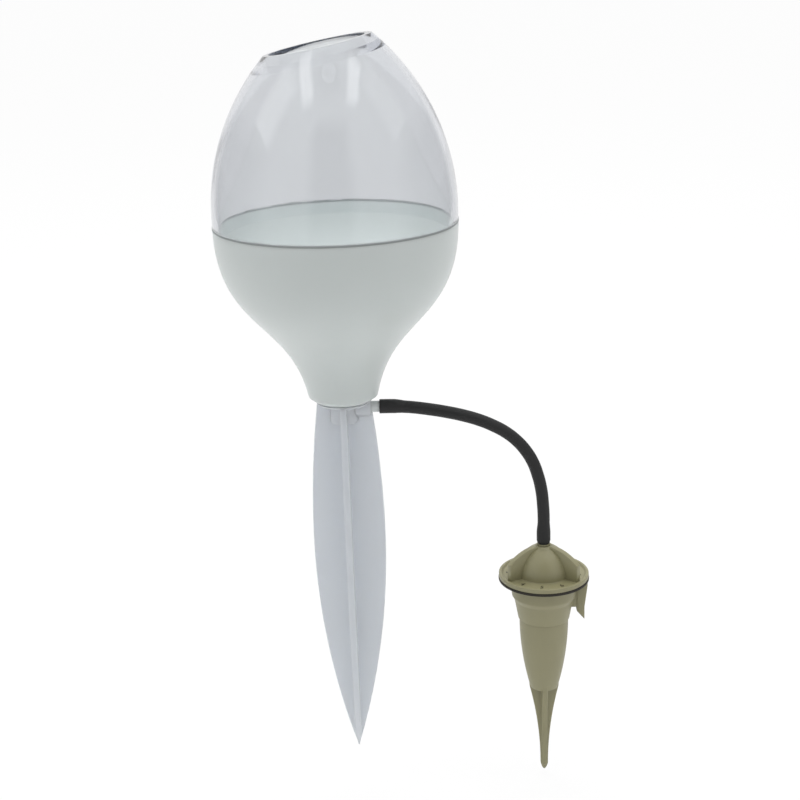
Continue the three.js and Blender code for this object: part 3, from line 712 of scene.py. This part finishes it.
def clear_dome():
    """The dome's section changes round the axis, because its mouth is cut at a slant."""
    foot = seal_high.z
    spring = foot + DOME_STRAIGHT
    mouth_z = foot + MOUTH_HEIGHT
    spigot = max(r for r, z in bowl_curve()[1] if z <= dome_low.z) - SPIGOT_GAP

    def arch(inwards, z):
        rise = max(z - spring, 0)
        return SEAM_R - DOME_ARC + math.sqrt((DOME_ARC - inwards) ** 2 - rise ** 2)

    hole = math.sqrt(arch(0, mouth_z) ** 2 - MOUTH_OFFSET ** 2) - LIP_WALL

    def mouth_level(r, turn, depth):
        """The height of the mouth's plane, moved down by a depth, at a radius."""
        along = r * math.cos(turn) - MOUTH_OFFSET
        return mouth_z + math.tan(MOUTH_TILT) * along - depth / math.cos(MOUTH_TILT)

    def cut(inwards, depth, turn):
        """Where the arch, moved inwards, meets the mouth's plane moved down by a depth."""
        low, high = spring, dome_high.z + LIP_DEPTH
        for _ in range(HALVINGS):
            z = (low + high) / 2
            if z < mouth_level(arch(inwards, z), turn, depth):
                low = z
            else:
                high = z
        return arch(inwards, low), low

    rows = []
    for k in range(FINE_SIDES):
        turn = k * math.tau / FINE_SIDES
        lip_out, step_out = cut(0, 0, turn), cut(DOME_WALL, LIP_DEPTH + LIP_SLANT, turn)
        aside = MOUTH_OFFSET * math.sin(turn)
        bore = MOUTH_OFFSET * math.cos(turn) + math.sqrt(hole ** 2 - aside ** 2)
        wide = bore + LIP_FLARE
        lip_in, step_in = (bore, mouth_level(bore, turn, 0)), (wide, mouth_level(wide, turn, LIP_DEPTH))
        corners = [(spigot, dome_low.z, PLUG_EDGE), (spigot, foot, 0), (SEAM_R, foot, SEAM_EDGE)]
        corners += plain((arch(0, z), z) for z in steps(foot + DOME_FOOT, lip_out[1], ARCH_STEPS)[:-1])
        corners += [
            (*lip_out, LIP_OUTER_EDGE), (*lip_in, LIP_INNER_EDGE),
            (*step_in, LIP_STEP_EDGE), (*step_out, LIP_STEP_EDGE),
        ]
        corners += plain((arch(DOME_WALL, z), z) for z in steps(step_out[1], spring, ARCH_STEPS)[1:])
        corners.append((SEAM_R - DOME_WALL, dome_low.z, PLUG_EDGE))
        spin = Matrix.Rotation(turn, 3, "Z")
        rows.append([spin @ Vector((r, 0, z)) for r, z in rounded(corners)])
    mesh = skinned("clear_dome_shell", rows, "clear", wrap=True)
    piece = fitted(linked("clear_dome_shell", mesh), "clear_dome", "dome")
    piece.visible_shadow = False
    piece.visible_diffuse = False


def stake():
    """Four fins under a flange, with a hub, a hollow spigot and the boss of the outlet."""
    tip = stake_low.z
    wide = stake_high.x

    def reach(z):
        if z > FIN_WIDE_Z:
            return wide - (wide - FIN_TOP_R) * (1 - min(z, 0) / FIN_WIDE_Z) ** 2
        return max(wide * (1 - ((z - FIN_WIDE_Z) / (tip - FIN_WIDE_Z)) ** 2), FIN_TIP_R)

    def half(z):
        return min(FIN_THICK / 2, reach(z) * FIN_SLIM)

    levels = steps(FLANGE_THICK / 2, FIN_WIDE_Z, STAKE_UPPER_STEPS)
    levels += steps(FIN_WIDE_Z, tip, STAKE_LOWER_STEPS)[1:]
    blades = finned(reach, half, levels, "frosted", "stake_fins")
    top = stake_high.z
    head = turned("stake_head", rounded([
        (0, -HUB_DEPTH, 0), (HUB_R, -HUB_DEPTH, HUB_EDGE), (HUB_R, -FLANGE_DROP, HUB_ROOT_EDGE),
        (FLANGE_R, -FLANGE_DROP, STAKE_EDGE), (FLANGE_TOP_R, FLANGE_THICK - NECK_GAP, STAKE_EDGE),
        (OUTLET_SPIGOT_R, FLANGE_THICK, STAKE_EDGE), (OUTLET_SPIGOT_R, top, STAKE_EDGE),
        (OUTLET_BORE_R, top, STAKE_EDGE), (OUTLET_BORE_R, FLANGE_THICK, 0), (0, FLANGE_THICK, 0),
    ], closed=False), "frosted", closed=False)
    boss = turned("stake_boss", rounded([
        (0, 0, 0), (BOSS_R, 0, 0), (BOSS_R, BOSS_END, BOSS_EDGE), (STUB_R, BOSS_END, STAKE_EDGE),
        (STUB_R, BOSS_END - STUB_ROOT, 0), (0, BOSS_END - STUB_ROOT, 0),
    ], closed=False), "frosted", OUTLET_AXIS, closed=False)
    fitted(joined("stake_moulding", blades, head, boss), "stake", "stake")


def outlet_barb():
    """The short stub that the hose is pushed on."""
    root, nose = BOSS_END - STUB_ROOT, stub_high.x
    mesh = turned("outlet_barb_stub", rounded([
        (STUB_BORE_R, root, 0), (STUB_R, root, 0), (STUB_R, STUB_END, STUB_EDGE),
        (NOSE_R, STUB_END, STUB_EDGE), (NOSE_R, nose, STUB_EDGE), (STUB_BORE_R, nose, STUB_EDGE),
    ]), "nylon", OUTLET_AXIS)
    fitted(joined("outlet_barb_stub", mesh), "outlet_barb", "stake")


def hose():
    """The hose along its route, wider where the barbs stretch it."""
    line = bpy.data.curves.new("feed_hose", "CURVE")
    line.dimensions = "3D"
    line.bevel_depth = HOSE_R
    line.bevel_resolution = HOSE_ROUND_STEPS
    line.resolution_u = HOSE_ROUTE_STEPS
    line.use_fill_caps = True
    line.materials.append(FINISHES["hose"])
    spline = line.splines.new("BEZIER")
    spline.bezier_points.add(len(HOSE_ROUTE) - 1)
    for i, (point, (x, z)) in enumerate(zip(spline.bezier_points, HOSE_ROUTE)):
        point.co = (x * MM, 0, z * MM)
        point.handle_left_type = point.handle_right_type = "AUTO"
        point.radius = 1 + HOSE_STRETCH.get(i, HOSE_STRETCH.get(i - len(HOSE_ROUTE), 0))
    piece = bpy.data.objects.new("feed_hose", line)
    bpy.context.scene.collection.objects.link(piece)
    fitted(piece, "hose", "dripper")


def dial_cap(axis):
    """The dial with its domed cap, and the grip wings spread round its axis."""
    face = cap_low.z + DIAL_THICK
    outer = (cap_high.x - cap_low.x) / 2
    rim_in = outer - DIAL_RIM_WIDTH
    rim_top = face + DIAL_RIM_RISE

    def crown(wall, least):
        points = [
            ((CAP_DOME_R - wall) * math.cos(a), face + (CAP_DOME_HEIGHT - wall) * math.sin(a))
            for a in steps(0, math.pi / 2, CROWN_STEPS)
        ]
        return [point for point in points if point[0] > least]

    inner = CAP_DOME_R - CAP_WALL
    corners = [
        (inner, cap_low.z, DIAL_EDGE), (outer, cap_low.z, DIAL_EDGE), (outer, rim_top, DIAL_RIM_EDGE),
        (rim_in, rim_top, DIAL_RIM_INNER_EDGE), (rim_in - DIAL_RIM_RISE, face, DIAL_RIM_ROOT_EDGE),
        (CAP_DOME_R, face, CAP_ROOT_EDGE),
    ]
    corners += plain(crown(0, CAP_BOSS_R)[1:])
    corners += [(CAP_BOSS_R, cap_high.z, DIAL_EDGE), (STEM_BORE_R, cap_high.z, DIAL_EDGE)]
    corners += plain(reversed(crown(CAP_WALL, STEM_BORE_R)))
    shell = turned("dial_shell", rounded(corners), "khaki", axis)
    wing_end = Vector((WING_R, face + WING_END_HEIGHT))
    wing_top = Vector((CAP_BOSS_R, cap_high.z))
    bend = Vector(((CAP_BOSS_R + WING_R) / 2, cap_high.z))
    arc = interpolate_bezier(
        wing_end, wing_end.lerp(bend, 2 / 3), wing_top.lerp(bend, 2 / 3), wing_top, WING_STEPS + 1,
    )
    root, foot = CAP_DOME_R - CAP_WALL / 2, cap_low.z + DIAL_EDGE
    outline = [(root, foot), (WING_R, foot)]
    outline += [tuple(point) for point in arc]
    outline += [(r - CAP_WALL / 2, z) for r, z in reversed(crown(CAP_WALL / 2, CAP_BOSS_R))]
    wing = linked("grip_wing", plate("grip_wing", outline, WING_THICK, WING_EDGE, "khaki"))
    wings = grown(
        "grip_wings", SPREADING, piece=wing, copies=WING_COUNT, first_turn=WING_TURN,
        finish=FINISHES["khaki"],
    )
    bpy.data.objects.remove(wing)
    wings.transform(axis)
    fitted(joined("dial_cap_moulding", shell, wings), "dial_cap", "dial")
    dial_numbers(axis, face)


def dial_numbers(axis, face):
    """Plain numbers between the wings, read from outside."""
    glyphs = []
    for wing in range(WING_COUNT):
        for k in range(NUMBERS_BETWEEN_WINGS):
            turn = WING_TURN + wing * math.tau / WING_COUNT + NUMBER_FIRST + k * NUMBER_PITCH
            text = bpy.data.curves.new("number", "FONT")
            text.body = str(1 + wing * NUMBERS_BETWEEN_WINGS + k)
            text.size = NUMBER_SIZE
            text.extrude = NUMBER_RISE
            text.align_x = "CENTER"
            text.align_y = "CENTER"
            text.materials.append(FINISHES["ink"])
            sign = bpy.data.objects.new("number", text)
            bpy.context.scene.collection.objects.link(sign)
            seen = sign.evaluated_get(bpy.context.evaluated_depsgraph_get())
            mesh = bpy.data.meshes.new_from_object(seen)
            bpy.data.objects.remove(sign)
            spot = Vector((math.cos(turn), math.sin(turn), 0)) * NUMBER_R + Vector((0, 0, face))
            mesh.transform(axis @ Matrix.Translation(spot) @ Matrix.Rotation(turn + math.pi / 2, 4, "Z"))
            glyphs.append(mesh)
    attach(joined("dial_numbers", *glyphs), "dial")


def dial_gasket(axis):
    """The rubber disc under the dial."""
    outer = (gasket_high.x - gasket_low.x) / 2
    low, high = gasket_low.z, gasket_high.z
    corners = [(STEM_BORE_R, low), (outer, low), (outer, high), (STEM_BORE_R, high)]
    mesh = turned("dial_gasket_disc", rounded(plain(corners, GASKET_EDGE)), "rubber", axis)
    fitted(joined("dial_gasket_disc", mesh), "dial_gasket", "dial")


def cone_radius(drop):
    """The cone's outside at a drop below its top."""
    return (cone_high.x - cone_low.x) / 2 - CONE_ARC + math.sqrt(CONE_ARC ** 2 - drop ** 2)


def dripper_body(axis):
    """The collar under the dial, with the drip spout at its side."""
    top, foot = body_high.z, cone_high.z
    plate_low = top - PLATE_DROP
    lip = top - BODY_COLLAR
    hollow = BODY_FOOT_R - BODY_WALL
    spigot = cone_radius(foot - body_low.z) - CONE_WALL - SPIGOT_GAP
    bore = spigot - BODY_SPIGOT_WALL
    edge = BODY_EDGE
    collar = turned("body_collar", rounded([
        (STEM_BORE_R, plate_low, edge), (hollow, plate_low, edge), (hollow, foot + hollow - bore, edge),
        (bore, foot, edge), (bore, body_low.z, edge), (spigot, body_low.z, edge), (spigot, foot, 0),
        (BODY_FOOT_R, foot, BODY_FOOT_EDGE), (BODY_LIP_R, lip - BODY_LIP_DROP, BODY_LIP_EDGE),
        (BODY_R, lip, BODY_COLLAR_EDGE), (BODY_R, top, edge), (METER_R, top, edge),
        (METER_R, top - METER_DROP, edge), (STEM_BORE_R, top - METER_DROP, edge),
    ]), "khaki", axis)
    inner, outer = SPOUT_NOZZLE_X - SPOUT_NOZZLE_HALF, SPOUT_NOZZLE_X + SPOUT_NOZZLE_HALF
    tip, web_low = top - SPOUT_TIP_DROP, top - SPOUT_WEB_DROP
    reach = body_high.x - DRIPPER_X
    nozzle = plate("spout_nozzle", [
        (inner, tip + SPOUT_SLANT), (outer, tip), (outer, web_low),
        (reach, plate_low), (reach, top), (inner, top),
    ], 2 * SPOUT_NOZZLE_HALF, SPOUT_EDGE, "khaki")
    web_root, bracket_root = hollow + BODY_WALL / 2, METER_R + edge
    web = plate("spout_web", [
        (web_root, web_low), (SPOUT_NOZZLE_X, web_low), (SPOUT_NOZZLE_X, plate_low), (web_root, plate_low),
    ], SPOUT_WEB_THICK, SPOUT_WEB_EDGE, "khaki")
    bracket = plate("spout_bracket", [
        (bracket_root, plate_low), (SPOUT_NOZZLE_X, plate_low), (SPOUT_NOZZLE_X, top), (bracket_root, top),
    ], 2 * SPOUT_NOZZLE_HALF, SPOUT_WEB_EDGE, "khaki")
    for part in (nozzle, web, bracket):
        part.transform(axis)
    piece = joined("dripper_body_moulding", collar, nozzle, web, bracket)
    fitted(piece, "dripper_body", "dripper")


def spike_cone(axis):
    """The hollow cone, and the four fins that come out of it as the spike."""
    top, tip = cone_high.z, cone_low.z
    low = top - CONE_HEIGHT
    point = tip + SPIKE_POINT
    outside = [(cone_radius(drop), top - drop) for drop in steps(CONE_HEIGHT, 0, CONE_STEPS)]
    inside = [(r - CONE_WALL, z) for r, z in reversed(outside)]
    corners = []
    for side in (outside, inside):
        corners += [(*side[0], CONE_EDGE)] + plain(side[1:-1]) + [(*side[-1], CONE_EDGE)]
    shell = turned("cone_shell", rounded(corners), "khaki", axis)
    rim = cone_radius(CONE_HEIGHT) + SPIKE_FIN_PROUD
    show = low + SPIKE_FIN_SHOW
    root = cone_radius(top - show) - CONE_WALL / 2

    def reach(z):
        if z > show:
            return cone_radius(top - z) - CONE_WALL / 2
        if z > low:
            return rim + (root - rim) * (z - low) / SPIKE_FIN_SHOW
        if z > point:
            return SPIKE_TIP_R + (rim - SPIKE_TIP_R) * (1 - (low - z) / (low - point)) ** 2
        return max(SPIKE_TIP_R * math.sqrt(max((z - tip) / SPIKE_POINT, 0)), SPIKE_LEAST_R)

    def half(z):
        return min(SPIKE_FIN_THICK / 2, reach(z) * SPIKE_SLIM)

    levels = steps(low + SPIKE_FIN_ROOT, show, SPIKE_ROOT_STEPS) + steps(show, low, SPIKE_ROOT_STEPS)[1:]
    levels += steps(low, point, SPIKE_STEPS)[1:] + steps(point, tip, SPIKE_POINT_STEPS)[1:]
    blades = finned(reach, half, levels, "khaki", "spike_fins")
    blades.transform(axis)
    fitted(joined("spike_cone_moulding", shell, blades), "spike_cone", "dripper")


def hidden_pieces():
    """What lies inside keeps its CAD mesh and gets its own finish."""
    for node, finish in (
        ("outlet_strainer", "nylon"), ("neck_o_ring", "rubber"), ("inlet_barb", "khaki"),
        ("stem_o_ring", "rubber"), ("metering_disc", "nylon"), ("retaining_ring", "nylon"),
    ):
        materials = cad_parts[node].data.materials
        materials.clear()
        materials.append(FINISHES[finish])


def seen_rays(tree, level_through):
    """1 for camera, glossy and transmission rays and 0 for light's own bounces, and the white they see."""
    path = add(tree, "ShaderNodeLightPath").outputs
    through = path["Is Transmission Ray"]
    bright = add(tree, "ShaderNodeMath", {
        0: path["Is Camera Ray"], 1: path["Is Glossy Ray"],
    }, operation="MAXIMUM")
    seen = add(tree, "ShaderNodeMath", {0: bright.outputs[0], 1: through}, operation="MAXIMUM")
    white = add(tree, "ShaderNodeMath", {
        0: through, 1: level_through - 1, 2: 1.0,
    }, operation="MULTIPLY_ADD")
    return seen.outputs[0], white.outputs[0]


def stage_material(name):
    """An empty material for the studio, with its tree."""
    material = bpy.data.materials.new(name)
    material.use_nodes = True
    material.node_tree.nodes.clear()
    return material, material.node_tree


def sheet(name, wide, tall, matrix, material, glow=1.0):
    """A flat sheet of the studio. Its glow fades to that of the white surroundings at its edges."""
    marks = (-0.5, -0.25, 0.25, 0.5)
    rows = len(marks)
    spots = [(x, y) for x in marks for y in marks]
    cells = [
        (i + j, i + j + rows, i + j + rows + 1, i + j + 1)
        for i in range(0, rows * (rows - 1), rows) for j in range(rows - 1)
    ]
    mesh = bpy.data.meshes.new(name)
    mesh.from_pydata([(x * wide, y * tall, 0) for x, y in spots], [], cells)
    mesh.materials.append(material)
    layer = mesh.attributes.new("glow", "FLOAT", "POINT")
    for value, (x, y) in zip(layer.data, spots):
        value.value = glow if max(abs(x), abs(y)) < marks[-1] else 1.0
    made = linked(name, mesh, matrix)
    return made


def lamp(name, kind, place, power, **settings):
    """A lamp that lights the object, and that neither gloss nor clear plastic shows."""
    light = bpy.data.lights.new(name, kind)
    light.energy = power
    for setting, value in settings.items():
        setattr(light, setting, value)
    rig = bpy.data.objects.new(name, light)
    rig.location = place
    rig.visible_glossy = False
    rig.visible_transmission = False
    bpy.context.scene.collection.objects.link(rig)
    return rig


def studio():
    """White surroundings and floor, bright sheets for the dome to mirror, dim cards, and two lamps."""
    world = bpy.data.worlds.new("studio")
    bpy.context.scene.world = world
    world.use_nodes = True
    tree = world.node_tree
    tree.nodes.clear()
    seen, white = seen_rays(tree, SKY_THROUGH)
    level = add(tree, "ShaderNodeMix", {"Factor": seen, "A": SKY_LIGHT, "B": white})
    sky = add(tree, "ShaderNodeBackground", {"Color": WHITE, "Strength": level.outputs["Result"]})
    add(tree, "ShaderNodeOutputWorld", {"Surface": sky.outputs[0]})

    paper, tree = stage_material("white_paper")
    matt = add(tree, "ShaderNodeBsdfDiffuse", {"Color": FLOOR_GREY})
    seen, white = seen_rays(tree, FLOOR_THROUGH)
    glow = add(tree, "ShaderNodeEmission", {"Color": WHITE, "Strength": white})
    share = add(tree, "ShaderNodeMath", {0: seen, 1: FLOOR_GLOW}, operation="MULTIPLY")
    shown = add(tree, "ShaderNodeMixShader", {0: share.outputs[0], 1: matt.outputs[0], 2: glow.outputs[0]})
    add(tree, "ShaderNodeOutputMaterial", {"Surface": shown.outputs[0]})
    sheet("floor", FLOOR_SIZE, FLOOR_SIZE, Matrix.Translation((0, 0, cad_low.z - FLOOR_DROP)), paper)

    cloth, tree = stage_material("soft_box_cloth")
    fade = add(tree, "ShaderNodeAttribute", attribute_name="glow")
    light = add(tree, "ShaderNodeEmission", {"Color": WHITE, "Strength": fade.outputs["Fac"]})
    add(tree, "ShaderNodeOutputMaterial", {"Surface": light.outputs[0]})
    middle = Vector((0, 0, (seal_low.z + dome_high.z) / 2))
    for name, (place, wide, tall, glow) in SOFT_BOXES.items():
        facing = Vector(place).normalized().to_track_quat("Z", "Y").to_matrix().to_4x4()
        box = sheet(name, wide, tall, Matrix.Translation(middle + Vector(place)) @ facing, cloth, glow)
        box.visible_transmission = False
    for name, (place, wide, tall, glow) in TUBES.items():
        tube = sheet(name, wide, tall, Matrix.Translation(middle + Vector(place)), cloth, glow)
        tube.visible_transmission = False
    for name, (place, wide, tall, glow) in CARDS.items():
        away = Vector((place[0], min(place[1], 0), 0))
        facing = away.to_track_quat("Z", "Y").to_matrix().to_4x4()
        card = sheet(name, wide, tall, Matrix.Translation(middle + Vector(place)) @ facing, cloth, glow)
        card.visible_camera = False
        card.visible_transmission = False

    lamp("overhead", "AREA", OVERHEAD_PLACE, OVERHEAD_POWER, size=OVERHEAD_SIZE)
    beam = 2 * math.atan(SNOOT_BEAM_R / SNOOT_REACH)
    snoot = lamp("snoot", "SPOT", SNOOT_PLACE, SNOOT_POWER, spot_size=beam, spot_blend=SNOOT_BLEND)
    run = Vector(SNOOT_AIM) - Vector(SNOOT_PLACE)
    snoot.rotation_euler = (math.atan2(run.y, -run.z), 0, 0)


def camera():
    """The camera of the photograph, and how light is followed."""
    lens = bpy.data.cameras.new("camera")
    lens.lens = CAMERA_LENS
    lens.sensor_width = CAMERA_SENSOR
    lens.clip_start = CAMERA_NEAR
    eye = bpy.data.objects.new("camera", lens)
    tilt = Matrix.Rotation(math.pi / 2 - CAMERA_PITCH, 4, "X") @ Matrix.Rotation(CAMERA_ROLL, 4, "Z")
    eye.matrix_world = Matrix.Translation(CAMERA_PLACE) @ tilt
    bpy.context.scene.collection.objects.link(eye)
    bpy.context.scene.camera = eye
    bpy.context.scene.view_settings.view_transform = "Standard"
    # Light that the thick clear lip catches needs many bounces to come out again
    paths = bpy.context.scene.cycles
    paths.max_bounces = paths.glossy_bounces = paths.transmission_bounces = LIGHT_BOUNCES


camera()
studio()
hose()
white_bowl()
rim_seal()
clear_dome()
stake()
outlet_barb()
dripper_axis = Matrix.Translation((DRIPPER_X, 0, 0))
dial_cap(dripper_axis)
dial_gasket(dripper_axis)
dripper_body(dripper_axis)
spike_cone(dripper_axis)
hidden_pieces()
